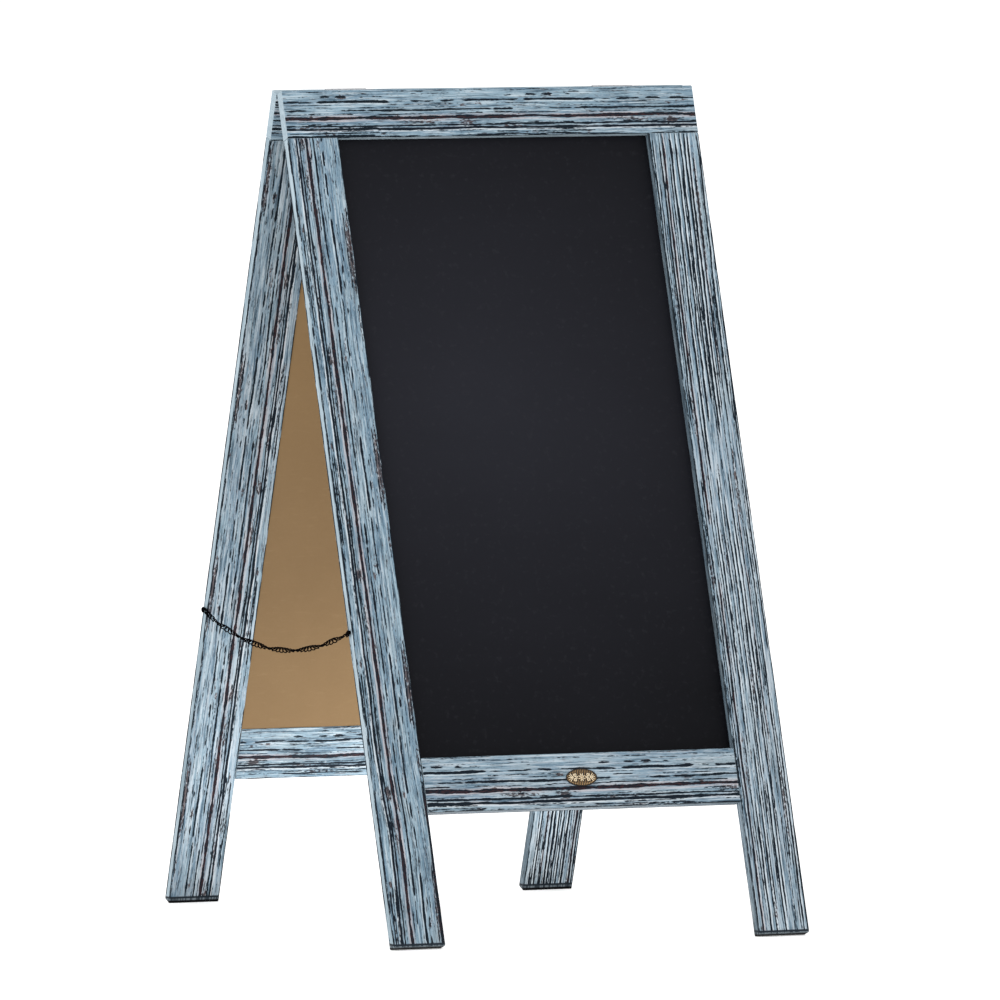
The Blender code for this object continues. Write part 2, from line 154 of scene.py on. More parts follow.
def wood_look():
    """Blue-grey paint over brushed wood; the boards' own attributes say where the grain is."""
    look = Look("brushed_blue_wood")
    grain = look.attribute("grain", "Vector")
    cut, rust = look.attribute("cut"), look.attribute("rust")
    painted_lip_highlight, patch, bleach = (look.attribute(key) for key in ("painted_lip_highlight", "patch", "bleach"))
    # streaks run along the grain: the first coordinate is along it, in metres
    broad = look.streaks(grain, (7, 120, 40), rough=0.55)
    middle = look.streaks(grain, (17, 350, 40), (9, 4, 2))
    fine = look.streaks(grain, (34, 860, 40), detail=2)
    dashes = look.streaks(grain, (62, 540, 40), (3, 7, 1))
    speckle = look.streaks(grain, (210, 620, 40), (5, 2, 9), detail=2)
    blotch = look.streaks(grain, (14, 45, 40), (1, 4, 3), detail=2, rough=0.5)

    colour = look.mix(look.ramp(broad, 0.34, 0.66), (0.12, 0.198, 0.268), (0.232, 0.33, 0.398))
    colour = look.tint(colour, blotch, 0.5, 0.75, 0.45, (0.27, 0.31, 0.32))
    colour = look.tint(colour, middle, 0.53, 0.68, 0.8, (0.42, 0.5, 0.55))
    colour = look.tint(colour, middle, 0.47, 0.34, 0.8, (0.042, 0.072, 0.1))
    colour = look.tint(colour, fine, 0.54, 0.7, 0.6, (0.5, 0.57, 0.61))
    colour = look.tint(colour, fine, 0.47, 0.32, 0.62, (0.035, 0.055, 0.075))
    fleck = look.mix(look.ramp(speckle, 0.46, 0.56), (0.022, 0.036, 0.05), (0.072, 0.044, 0.043))
    colour = look.tint(colour, dashes, 0.575, 0.66, 0.66, fleck)
    colour = look.tint(colour, speckle, 0.6, 0.7, 0.55, (0.04, 0.042, 0.052))
    colour = look.tint(colour, speckle, 0.4, 0.3, 0.45, (0.44, 0.49, 0.53))
    # bleached stretches between the lines
    washed = look.times(bleach, look.ramp(middle, 0.42, 0.6, 0.0, 1))
    colour = look.mix(washed, colour, (0.43, 0.475, 0.52))
    # pinkish white wood beside the cuts
    near_rust = look.times(look.ramp(rust, 0.1, 0.5), look.ramp(middle, 0.36, 0.6))
    colour = look.mix(look.times(near_rust, 0.65), colour, (0.4, 0.345, 0.355))
    # painted highlight: a pale line along the same lip of every cut, below it on a rail
    lip_highlight_mask = look.times(look.ramp(painted_lip_highlight, 0.12, 0.6), look.ramp(dashes, 0.68, 0.45, 0.2, 1))
    colour = look.mix(look.times(lip_highlight_mask, 0.8), colour, (0.55, 0.61, 0.65))
    # worn patches: dark brown specks
    specks = look.ramp(look.vary(patch, speckle, 2.6), 0.38, 0.56)
    specks = look.times(specks, look.ramp(patch, 0.04, 0.22))
    dark_brown = look.mix(look.ramp(dashes, 0.4, 0.6), (0.02, 0.015, 0.017), (0.078, 0.05, 0.047))
    colour = look.mix(look.times(specks, 0.85), colour, dark_brown)
    # the cuts themselves
    edge = look.vary(cut, dashes, 0.45)
    edge = look.vary(edge, speckle, 0.95)
    line = look.ramp(edge, 0.18, 0.4)
    line = look.times(line, look.ramp(cut, 0.05, 0.16))
    red = look.ramp(look.vary(rust, speckle, 1.5), 0.6, 1.15)
    in_cut = look.mix(red, (0.007, 0.012, 0.018), (0.046, 0.021, 0.022))
    colour = look.mix(line, colour, in_cut)
    # narrow edges and ends: plainer and paler paint
    pale = look.mix(look.ramp(broad, 0.35, 0.65), (0.25, 0.325, 0.37), (0.38, 0.455, 0.5))
    pale = look.tint(pale, middle, 0.44, 0.3, 0.55, (0.12, 0.17, 0.21))
    edge_on = look.times(look.attribute("pale"), look.ramp(cut, 0.35, 0.1))
    colour = look.mix(look.times(edge_on, 0.85), colour, pale)
    # painted shade: darker paint on the stiles' groove walls, under the bottom rails and on the back
    # bottom rail's inner face
    painted_shade = look.times(look.attribute("painted_shade"), look.ramp(middle, 0.2, 0.7, 0.95, 0.6))
    colour = look.mix(painted_shade, colour, (0.045, 0.058, 0.07))
    # painted contact shadow on the feet, up to 8 mm from the ground
    height = look.split(look.place(), "Z")
    foot_shadow = look.ramp(height, 0.0083, 0.007)
    shadow_tone = look.mix(look.ramp(middle, 0.44, 0.58), (0.03, 0.04, 0.05), (0.15, 0.18, 0.2))
    shadow_band = look.mix(look.ramp(height, 0.0056, 0.005), (0.014, 0.02, 0.027), shadow_tone)
    shadow_band = look.mix(look.ramp(height, 0.0033, 0.0027), shadow_band, (0.002, 0.002, 0.003))
    colour = look.mix(foot_shadow, colour, shadow_band)

    roughness = look.sum(look.ramp(fine, 0.3, 0.7, 0.62, 0.5), look.times(line, 0.25))
    relief = look.sum(look.times(fine, 0.6), look.times(dashes, -0.3))
    relief = look.less(relief, look.times(line, 0.5))
    relief = look.less(relief, look.times(specks, 0.3))
    return look.surface(
        Base_Color=colour, Roughness=roughness, Specular_IOR_Level=0.06,
        Normal=look.bump(relief, 0.35, 0.0004))


# ---- Smooth seeded noise along a line ----
KNOTS, FIRST_KNOT = 4096, 512    # how many, and which one lies at zero


def ripple(s, seed, step):
    """Smooth random values in -1..1 at the positions s, with a knot every step metres."""
    knots = np.random.default_rng(seed).uniform(-1, 1, KNOTS)
    place = s / step + FIRST_KNOT
    index = np.floor(place).astype(int) % (KNOTS - 1)
    part = place - np.floor(place)
    part = part * part * (3 - 2 * part)
    return knots[index] * (1 - part) + knots[index + 1] * part


def rise(value, low, high):
    """A smooth step: 0 up to low, 1 from high on."""
    part = np.clip((value - low) / (high - low), 0, 1)
    return part * part * (3 - 2 * part)


# ---- The figure of the grain ----
# It repeats every so many metres along the board; width, the lip scale and boost scale its lines'
# widths, painted highlights beside them and strengths. Each line: mm across the figure, half width in
# mm, strength, rust, painted highlight on its lip, and where it shows, as shares of the repeat with a
# strength for each stretch.
FIGURE = {
    "repeat": 0.255,
    "width": 1,
    "lip_highlight_scale": 0.75,
    "boost": 1,
    "lines": [
        (3, 0.9, 0.5, 0.6, 0.3, [(0.15, 0.58, 0.9), (0.93, 1.12, 0.8)]),
        (6.6, 0.8, 0.6, 0.5, 0.5, [(0.18, 0.55, 1), (0.75, 0.86, 0.7)]),
        (16, 1.2, 0.62, 0.35, 0.1, [(0.05, 0.11, 0.7), (0.17, 0.23, 0.9), (0.25, 0.31, 1),
                                      (0.36, 0.4, 0.9), (0.42, 0.5, 0.5), (0.7, 0.74, 0.5)]),
        (21.4, 1.25, 1, 0.05, 0.75, [(0.16, 0.51, 1), (0.53, 0.59, 0.5), (0.61, 0.73, 0.62),
                                       (0.75, 0.83, 0.7), (0.86, 1.14, 0.66)]),
        (31.3, 1.15, 0.85, 0.05, 0.35, [(0.27, 0.4, 0.7), (0.4, 1, 0.95), (0, 0.11, 0.85)]),
        (39.6, 1.75, 1, 0.85, 0.45, [(0, 1, 1)]),
        (43.8, 0.8, 0.45, 0.4, 0, [(0.53, 0.72, 0.8), (0.82, 0.95, 0.9)]),
        (48.3, 1, 0.75, 0.25, 0.2, [(0, 1, 1)]),
        (51.7, 1.3, 1, 0.45, 1, [(0, 1, 1)]),
        (56.6, 0.8, 0.5, 0, 0.3, [(0, 0.5, 0.9), (0.72, 0.9, 0.5)]),
        (59.2, 0.95, 0.6, 0, 0.2, [(0, 0.43, 1), (0.85, 1, 0.6)]),
        (64.5, 0.9, 0.55, 0.3, 0.2, [(0.1, 0.6, 0.9), (0.8, 1, 0.7)]),
        (10.4, 0.6, 0.5, 0.2, 0.2, [(0.08, 0.3, 0.8), (0.46, 0.7, 0.8), (0.84, 0.98, 0.8)]),
        (13.2, 0.55, 0.5, 0.3, 0.1, [(0.3, 0.44, 0.9), (0.58, 0.82, 0.7)]),
        (24.8, 0.6, 0.55, 0.2, 0.3, [(0.02, 0.24, 0.8), (0.5, 0.86, 0.8)]),
        (28, 0.6, 0.5, 0.4, 0.2, [(0.1, 0.22, 0.9), (0.34, 0.6, 0.8), (0.72, 0.9, 0.8)]),
        (35.4, 0.65, 0.6, 0.5, 0.3, [(0, 0.34, 0.9), (0.44, 0.68, 0.8), (0.78, 0.96, 0.9)]),
        (46, 0.6, 0.55, 0.3, 0.1, [(0.06, 0.4, 0.8), (0.6, 0.94, 0.8)]),
        (54.2, 0.6, 0.5, 0.2, 0.3, [(0.14, 0.46, 0.9), (0.62, 0.98, 0.8)]),
    ],
    # worn patches: mm across, share along, half sizes in mm, strength
    "patches": [
        (3.6, 0.36, 3.8, 46, 0.85), (3, 0.02, 1.8, 20, 0.5),
        (16, 0.28, 2.2, 7, 0.7), (26.5, 0.86, 1.8, 5, 0.7), (37.6, 0.54, 1.6, 4, 0.8),
        (37.8, 0.12, 1.6, 4, 0.6), (44.2, 0.66, 2.6, 28, 0.5), (46, 0.87, 4.2, 9, 0.85),
        (50, 0.1, 2.2, 22, 0.5), (57.6, 0.46, 1.6, 5, 0.7), (57, 0.2, 1.6, 28, 0.4),
        (24.5, 0.93, 2, 10, 0.45),
    ],
}
FINE_FIGURE = {
    "repeat": 1.01,
    "width": 1.18,
    "lip_highlight_scale": 1.6,
    "boost": 1.25,
    "lines": [
        (3.6, 0.7, 0.75, 0.1, 0.3, [(0, 0.4, 1), (0.55, 0.9, 0.6)]),
        (6.6, 0.6, 0.45, 0.2, 0.3, [(0.05, 0.28, 0.9), (0.5, 0.97, 0.7)]),
        (9.3, 0.6, 0.5, 0.3, 0.2, [(0.1, 0.36, 0.8), (0.44, 0.78, 0.8)]),
        (12, 0.8, 0.85, 0.3, 0.3, [(0, 0.34, 1), (0.4, 0.86, 0.6)]),
        (15.8, 1.05, 1, 0.8, 0.3, [(0, 0.46, 1), (0.52, 1, 0.75)]),
        (18.9, 0.6, 0.5, 0.1, 0.4, [(0.08, 0.3, 0.9), (0.42, 0.7, 0.8), (0.8, 0.98, 0.7)]),
        (22, 0.65, 0.6, 0.1, 0.5, [(0.02, 0.22, 0.7), (0.3, 0.64, 0.8), (0.7, 0.93, 0.8)]),
        (25.5, 0.95, 1, 0.15, 0.7, [(0, 0.4, 1), (0.44, 0.74, 0.6), (0.78, 1, 0.8)]),
        (28.6, 0.6, 0.5, 0, 0.3, [(0.12, 0.32, 0.8), (0.46, 0.9, 0.7)]),
        (32, 0.85, 0.95, 0.1, 0.7, [(0, 0.34, 1), (0.4, 0.66, 0.6), (0.72, 1, 0.65)]),
        (35, 0.6, 0.5, 0.2, 0.4, [(0.04, 0.26, 0.9), (0.38, 0.6, 0.7), (0.66, 0.92, 0.8)]),
        (38, 0.85, 0.95, 0.1, 0.7, [(0, 0.32, 1), (0.42, 0.82, 0.6)]),
        (40.6, 0.6, 0.5, 0.2, 0.3, [(0.14, 0.44, 0.8), (0.56, 0.96, 0.7)]),
        (43, 0.95, 1, 0.15, 0.7, [(0, 0.36, 1), (0.46, 0.7, 0.6), (0.76, 1, 0.75)]),
        (47, 0.9, 0.95, 0.45, 0.5, [(0, 0.34, 1), (0.4, 0.92, 0.65)]),
        (49.6, 0.6, 0.5, 0.3, 0.3, [(0.2, 0.5, 0.8), (0.6, 0.84, 0.8)]),
        (52, 0.75, 0.75, 0.7, 0.3, [(0.02, 0.3, 1), (0.44, 0.72, 0.7)]),
        (54.8, 0.6, 0.5, 0.3, 0.3, [(0.16, 0.4, 0.9), (0.5, 0.96, 0.7)]),
        (57.2, 0.6, 0.45, 0.2, 0.3, [(0.04, 0.24, 0.7), (0.36, 0.68, 0.8), (0.8, 1, 0.8)]),
        (59.6, 0.85, 0.85, 0.1, 0.5, [(0, 0.32, 1), (0.46, 0.86, 0.65)]),
        (62.8, 0.6, 0.5, 0.2, 0.4, [(0.1, 0.56, 0.8), (0.66, 0.94, 0.8)]),
        (65.8, 0.75, 0.75, 0.4, 0.5, [(0.2, 0.62, 0.9), (0.7, 1, 0.8)]),
        (69.2, 0.65, 0.6, 0.2, 0.5, [(0.4, 1, 0.85)]),
        (72.4, 0.75, 0.7, 0.4, 0.4, [(0.6, 1, 0.9)]),
    ],
    "patches": [
        (52, 0.1, 2, 80, 0.8), (52.6, 0.24, 1.6, 40, 0.6), (11, 0.2, 2, 26, 0.5),
        (14, 0.33, 2.4, 36, 0.5), (55.5, 0.42, 2.4, 50, 0.6), (9.5, 0.52, 2, 30, 0.6),
        (30.5, 0.5, 1.8, 44, 0.45), (42, 0.64, 2.2, 60, 0.45), (20.5, 0.74, 2.2, 46, 0.5),
        (62, 0.78, 2.4, 60, 0.6), (34, 0.9, 2, 40, 0.5), (13, 0.95, 2.4, 30, 0.6),
    ],
}

# the fine lines drift towards the panel as they go down: metres from the top, and mm
FINE_PLACES = (0.0, 0.12, 0.24, 0.34, 0.48, 0.62, 0.8, 1.01)
FINE_DRIFT = (0.0, 2.6, 5.0, 6.4, 7.0, 6.6, 8.0, 9.8)


def stretches(share, spans):
    """How strongly a line shows at each share of the repeat."""
    level = np.zeros_like(share)
    for start, end, strength in spans:
        if end - start >= 1.0:
            return np.full_like(share, strength)
        for turn in (-1, 0, 1):
            moved = share + turn
            inside = rise(moved, start - 0.014, start + 0.024)
            inside = inside * rise(-moved, -end - 0.014, -end + 0.024)
            level = np.maximum(level, inside * strength)
    return level


def grain_marks(figure, across, s, share, seed):
    """Cut, rust, painted lip highlight and patch at each point; across in mm, s along in metres."""
    marks = {key: np.zeros(across.shape) for key in ("cut", "rust", "painted_lip_highlight", "patch")}
    for index, (middle, half, strength, rust, painted_lip_highlight, spans) in enumerate(figure["lines"]):
        key = seed * 100 + index
        level = stretches(share, spans) * strength * figure["boost"]
        level = level * (1.02 + 0.24 * ripple(s, key, 0.009) + 0.12 * ripple(s, key + 31, 0.045))
        level = np.clip(level, 0, 1.15)
        centre = middle + 0.5 * ripple(s, key + 47, 0.034) + 0.2 * ripple(s, key + 53, 0.008)
        wide = half * figure["width"] * (1 + 0.34 * ripple(s, key + 61, 0.012))
        wide = wide * (0.45 + 0.55 * np.clip(level / strength, 0, 1))
        off = across - centre
        body = np.clip(1 - np.abs(off) / (1.25 * wide), 0, 1)
        body = np.minimum(1, body * 1.5)
        marks["cut"] = np.maximum(marks["cut"], level * body)
        if rust:
            near = np.exp(-((off - 0.4) / (2.0 * half)) ** 2)
            marks["rust"] = np.maximum(marks["rust"], rust * near * np.clip(level, 0, 1))
        if painted_lip_highlight:
            beside = np.exp(-((off - 1.3 * half - 0.65) / 0.8) ** 2)
            amount = np.clip(painted_lip_highlight * figure["lip_highlight_scale"], 0, 1) * beside * np.clip(level + 0.1, 0, 1)
            marks["painted_lip_highlight"] = np.maximum(marks["painted_lip_highlight"], amount)
    repeat = figure["repeat"] / MM
    for index, (middle, where, half, reach, strength) in enumerate(figure["patches"]):
        turn = (share - where + 0.5) % 1.0 - 0.5
        off = ((across - middle) / half) ** 2 + (turn * repeat / reach) ** 2
        amount = strength * np.exp(-off ** 1.5) * (1 + 0.3 * ripple(s, seed * 100 + 71 + index, 0.006))
        marks["patch"] = np.maximum(marks["patch"], amount)
    marks["rust"] = np.maximum(marks["rust"], 0.5 * marks["patch"])
    return marks


# ---- Boards ----
def join_model(name, mesh, look, body, replaced):
    """A piece from the mesh, which rides on the body and stands for the CAD node."""
    mesh.materials.append(look)
    piece = bpy.data.objects.new(name, mesh)
    bpy.context.scene.collection.objects.link(piece)
    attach(piece, body)
    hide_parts(replaced)
    return piece


def ring_mesh(name, points, count, ring, rail):
    """A mesh of count rings of points, one after the other, with a flat cap at either end."""
    index = np.arange(count * ring).reshape(count, ring)
    beside = np.roll(index, -1, 1)
    quads = np.stack([index[:-1], beside[:-1], beside[1:], index[1:]], -1).reshape(-1, 4)
    caps = [index[0, ::-1], index[-1]]
    if not rail:          # a stile's u, d and s axes turn the other way round
        quads = quads[:, ::-1]
        caps = [index[0], index[-1, ::-1]]
    loops = np.concatenate([quads.ravel(), *caps])
    last = quads.size
    starts = np.concatenate([np.arange(0, last, 4), [last, last + ring]])
    mesh = bpy.data.meshes.new(name)
    mesh.vertices.add(len(points))
    mesh.vertices.foreach_set("co", points.ravel())
    mesh.loops.add(len(loops))
    mesh.loops.foreach_set("vertex_index", loops.astype(np.int32))
    mesh.polygons.add(len(starts))
    mesh.polygons.foreach_set("loop_start", starts.astype(np.int32))
    mesh.update(calc_edges=True)
    mesh.validate()
    mesh.shade_smooth()
    for cap in (len(quads), len(quads) + 1):
        mesh.polygons[cap].use_smooth = False
    return mesh


def add_marks(mesh, columns, s, seed):
    """The columns' marks, and coordinates along the grain for the paint's streaks."""
    for key in ("cut", "rust", "painted_lip_highlight", "patch", "bleach", "painted_shade", "pale"):
        values = np.array([column[4].get(key, np.zeros(len(s))) for column in columns]).T
        if key != "painted_shade":
            values[[0, -1]] = 1 if key == "pale" else 0    # the board's ends are plain and pale
        layer = mesh.attributes.new(key, "FLOAT", "POINT")
        layer.data.foreach_set("value", values.ravel().astype(np.float32))
    grain = np.zeros((len(s), len(columns), 3), np.float32)
    grain[..., 0] = s[:, None] + seed * 0.731
    grain[..., 1] = np.array([column[2] for column in columns]) + seed * 0.097
    grain[..., 2] = np.array([column[3] for column in columns]) * 0.37
    layer = mesh.attributes.new("grain", "FLOAT_VECTOR", "POINT")
    layer.data.foreach_set("vector", grain.ravel())


ROW_STEP = 1.95 * MM
COLUMN_STEP = 0.8 * MM
CORNER = 0.9 * MM                # rounding of the boards' worn edges
CUT_DEPTH = 0.75 * MM


def face_marks(face, p, s):
    """Marks on one face of a board; p across from the face's reference edge, s along, metres."""
    figure = face["figure"]
    share = (face["phase"] + face["sense"] * s / figure["repeat"]) % 1.0
    across = face["scale"] * p / MM + face["offset"]
    if figure is FINE_FIGURE:
        across = across + np.interp(s, FINE_PLACES, FINE_DRIFT)
    marks = grain_marks(figure, across, s, share, face["seed"])
    if figure is FINE_FIGURE:
        washed = rise(s, 0.22, 0.44) * (0.62 + 0.3 * ripple(s, face["seed"] + 5, 0.07))
        marks["bleach"] = np.clip(washed, 0, 1) * 0.75
    elif "washed" in face:
        marks["bleach"] = np.full(across.shape, face["washed"])
    # a face can carry painted shade all over
    if "dull" in face:
        marks["painted_shade"] = np.full(across.shape, face["dull"])
    if "toe" in face:
        # a thick dark line runs beside the edge down to the foot
        toe = rise(s, 0.745, 0.775) * np.exp(-((across - 2.0) / 2.3) ** 4)
        toe = toe * (0.95 + 0.25 * ripple(s, face["seed"] + 9, 0.012))
        marks["cut"] = np.maximum(marks["cut"], toe)
        marks["rust"] = np.maximum(marks["rust"], 0.75 * toe)
    return marks


def build_board(name, tag, node, along, outer, inner, notch, seed):
    """A board's mesh around the CAD board's box.

    along is "z" for a stile (from its top down) or "x" for a rail (from its left end). Across
    it, u runs along +x of the frame for a stile and down for a rail, and d runs inwards. notch
    is the panel's groove in the board's low (u = 0) or high edge, as panel_groove gives it.
    """
    low, high = local_box(node, tag)
    if along == "z":
        length, width = high[2] - low[2], high[0] - low[0]
    else:
        length, width = high[0] - low[0], high[2] - low[2]
    thick = high[1] - low[1]
    rows = max(2, round(length / ROW_STEP))
    s = np.linspace(0, length, rows + 1)
    extra = [0.6 * MM, length - 0.6 * MM]
    for place in (notch["start"], notch["end"]):
        if MM < place < length - MM:
            extra += [place - 0.2 * MM, place + 0.2 * MM]
    s = np.unique(np.concatenate([s, extra]))
    count = len(s)

    columns = []          # (u, d, across coordinate for streaks, face number, marks)

    def flat_columns(face, d_surface, inward, number, reverse):
        """Columns across a broad face, one of them on the middle of each line of its figure."""
        steps = max(2, round((width - 2 * CORNER) / COLUMN_STEP))
        base = np.linspace(CORNER, width - CORNER, steps + 1)
        centres = []
        for line in face["figure"]["lines"]:
            p = (line[0] - face["offset"]) / face["scale"] * MM
            u = p if face["from_low"] else width - p
            if 2.5 * MM < u < width - 2.5 * MM and face["figure"] is FIGURE:
                centres.append(u)
        anchors = {0: base[0], steps: base[-1]}
        for u in centres:
            anchors[int(np.argmin(np.abs(base - u)))] = u
        keys = sorted(anchors)
        base = np.interp(np.arange(steps + 1), keys, [anchors[k] for k in keys])
        bend = 0.5 * MM * ripple(s, seed * 13 + number, 0.09)
        if "bend" in face:
            bend = face["bend"](s) + bend
        order = range(steps, -1, -1) if reverse else range(steps + 1)
        for i in order:
            u0 = base[i]
            hold = rise(np.array(u0), MM, 7 * MM) * rise(np.array(width - u0), MM, 7 * MM)
            u = u0 + bend * hold
            p = u0 if face["from_low"] else width - u0
            marks = face_marks(face, np.full(count, p), s)
            if i in (0, steps):            # as worn as the corner beside it
                beside = {(False, 0): 3, (False, steps): 0, (True, steps): 1, (True, 0): 2}
                arris = plain_marks("edge", beside[reverse, i] * 3)["cut"]
                marks["cut"] = np.maximum(marks["cut"], arris)
            depth = CUT_DEPTH * np.clip(marks["cut"], 0, 1) ** 1.2
            depth = depth + 0.25 * MM * marks["patch"]
            ends = rise(s, 0.0, 0.004) * rise(length - s, 0.0, 0.004)
            depth = depth * (0.35 + 0.65 * ends)
            d = d_surface + inward * depth
            columns.append((u, d, u0, number, marks))

    def plain_marks(kind, number):
        """Marks of a worn "edge" or a narrow "side"; 6, 9 and 80 up lie at the low edge."""
        key = seed * 17 + number
        cut = np.zeros(count)
        if kind == "edge":
            cut = np.clip(0.6 + 0.35 * ripple(s, key, 0.012) + 0.3 * ripple(s, key + 5, 0.05), 0, 1)
            cut = cut * 0.75
            if along == "x" and (number in (6, 9) or number >= 80):
                cut = cut * 0.3            # a rail's upper edges are rubbed clean
        elif kind == "side":
            cut = np.clip(0.9 * ripple(s, key, 0.03) - 0.45, 0, 0.7)
        zero = np.zeros(count)
        return {"cut": cut, "rust": 0.3 * cut, "painted_lip_highlight": zero, "patch": zero}

    def corner(cu, cd, start_angle, number):
        """Three points around a worn corner; cu, cd are 0/1 for the corner of the section."""
        radius = CORNER * (1 + 0.45 * ripple(s, seed * 7 + number, 0.02))
        radius = np.maximum(radius, 0.4 * MM)
        for k, angle in enumerate((22.5, 45, 67.5)):
            a = math.radians(start_angle + angle)
            out_u, out_d = math.cos(a), math.sin(a)
            centre_u = radius if cu == 0 else width - radius
            centre_d = radius if cd == 0 else thick - radius
            marks = plain_marks("edge", number * 3)
            columns.append((centre_u + radius * out_u, centre_d + radius * out_d,
                            (0 if cu == 0 else width) + 0.3 * MM * k, 4 + number, marks))

    def side_columns(at_high, number, has_notch):
        """One side of the board, between its outer and inner faces."""
        u_side = width if at_high else 0.0
        inward = -1 if at_high else 1
        places = list(np.linspace(CORNER, thick - CORNER, 9))
        entries = [(d, 0.0, False) for d in places]
        if has_notch:
            near, far = notch["near"], notch["far"]
            entries = [e for e in entries if e[0] < near - 0.0004 or e[0] > far + 0.0004]
            entries += [(near, 0.0, False), (near, 1.0, True), (far, 1.0, True), (far, 0.0, False)]
            entries.sort(key=lambda e: (e[0], e[1] if e[0] == near else -e[1]))
        if not at_high:
            entries = entries[::-1]
        for j, (d, deep, inner) in enumerate(entries):
            at_arris = j in (0, 1, len(entries) - 2, len(entries) - 1)
            kind = "edge" if at_arris else "side" if j % 3 == 1 else "none"
            marks = plain_marks("none" if inner else kind, 60 + number * 20 + j)
            # painted shade on the stiles' groove walls beside the panel
            if has_notch and along == "z":
                marks["painted_shade"] = np.full(count, 0.78)
            elif at_high and along == "x" and not has_notch:
                marks["painted_shade"] = np.full(count, 1.0)       # painted shade on the underside of a bottom rail
            else:
                marks["pale"] = np.full(count, 1.0)
            u = np.full(count, u_side)
            depth = np.full(count, d)
            if deep:
                inside = (s > notch["start"]) & (s < notch["end"])
                u = np.where(inside, u_side + inward * notch["deep"], u_side)
                third = (notch["far"] - notch["near"]) / 3
                shift = third if d == notch["near"] else -third
                depth = np.where(inside, d, d + shift)
            else:
                groove = 0.2 * MM * marks["cut"]
                u = u + inward * groove
            columns.append((u, depth, d + 0.1, 2 + number, marks))

    flat_columns(outer, 0.0, 1, 0, False)
    corner(1, 0, -90, 0)
    side_columns(True, 0, notch["edge"] == "high")
    corner(1, 1, 0, 1)
    flat_columns(inner, thick, -1, 1, True)
    corner(0, 1, 90, 2)
    side_columns(False, 1, notch["edge"] == "low")
    corner(0, 0, 180, 3)

    ring = len(columns)
    u = np.array([c[0] for c in columns]).T          # rows x ring
    d = np.array([c[1] for c in columns]).T
    along_s = np.repeat(s[:, None], ring, 1)
    # worn ends: the section draws in a little at both ends
    draw = (1 - rise(s, 0.0, 0.0012)) + (1 - rise(length - s, 0.0, 0.0012))
    pull = 0.35 * MM * draw[:, None]
    u = u + np.sign(width / 2 - u) * np.where(np.abs(u - width / 2) > width / 2 - 1.5 * MM, pull, 0)
    d = d + np.sign(thick / 2 - d) * np.where(np.abs(d - thick / 2) > thick / 2 - 1.0 * MM, pull, 0)

    flat = (u.ravel(), d.ravel(), along_s.ravel())
    if along == "z":
        x, y, z = low[0] + flat[0], low[1] + flat[1], high[2] - flat[2]
    else:
        x, y, z = low[0] + flat[2], low[1] + flat[1], high[2] - flat[0]
    points = np.stack([x, y, z], 1)
    turn = np.array(PLACE[tag].to_3x3())
    points = points @ turn.T + np.array(PLACE[tag].translation)

    mesh = ring_mesh(name, points, count, ring, along == "x")
    add_marks(mesh, columns, s, seed)
    join_model(name, mesh, WOOD, f"{tag}_frame", node)


WOOD = wood_look()


def lay(figure, from_low, scale, offset, phase, sense, seed, **more):
    """How a figure lies on a face: from which edge, mm per mm, mm, share along, direction, seed."""
    return {"figure": figure, "from_low": from_low, "scale": scale, "offset": offset,
            "phase": phase, "sense": sense, "seed": seed, **more}


def panel_groove(tag, node, along):
    """The panel's groove in a board: its sizes from the panel and the board's own boxes."""
    low, high = local_box(node, tag)
    sheets = [local_box(f"{sheet}_{tag}", tag) for sheet in ("chalkboard", "hardboard")]
    panel_low = np.min([box[0] for box in sheets], axis=0)
    panel_high = np.max([box[1] for box in sheets], axis=0)
    slack = 0.15 * MM
    near, far = panel_low[1] - low[1] - slack, panel_high[1] - low[1] + slack
    if along == "z":
        high_edge = panel_low[0] > low[0]
        deep = (high[0] - panel_low[0]) if high_edge else (panel_high[0] - low[0])
        start, end = high[2] - panel_high[2], high[2] - panel_low[2]
    else:
        high_edge = panel_high[2] < high[2]        # the panel lies below: the top rail
        deep = (panel_high[2] - low[2]) if high_edge else (high[2] - panel_low[2])
        start, end = panel_low[0] - low[0], panel_high[0] - low[0]
    return {"edge": "high" if high_edge else "low", "near": near, "far": far,
            "deep": deep + slack, "start": start - slack, "end": end + slack}


def foot_bend(s):
    """The lines of a left stile bow out above the foot."""
    return 2.2 * MM * rise(s, 0.74, 0.82) * (1 - 0.6 * rise(s, 0.86, 0.94))


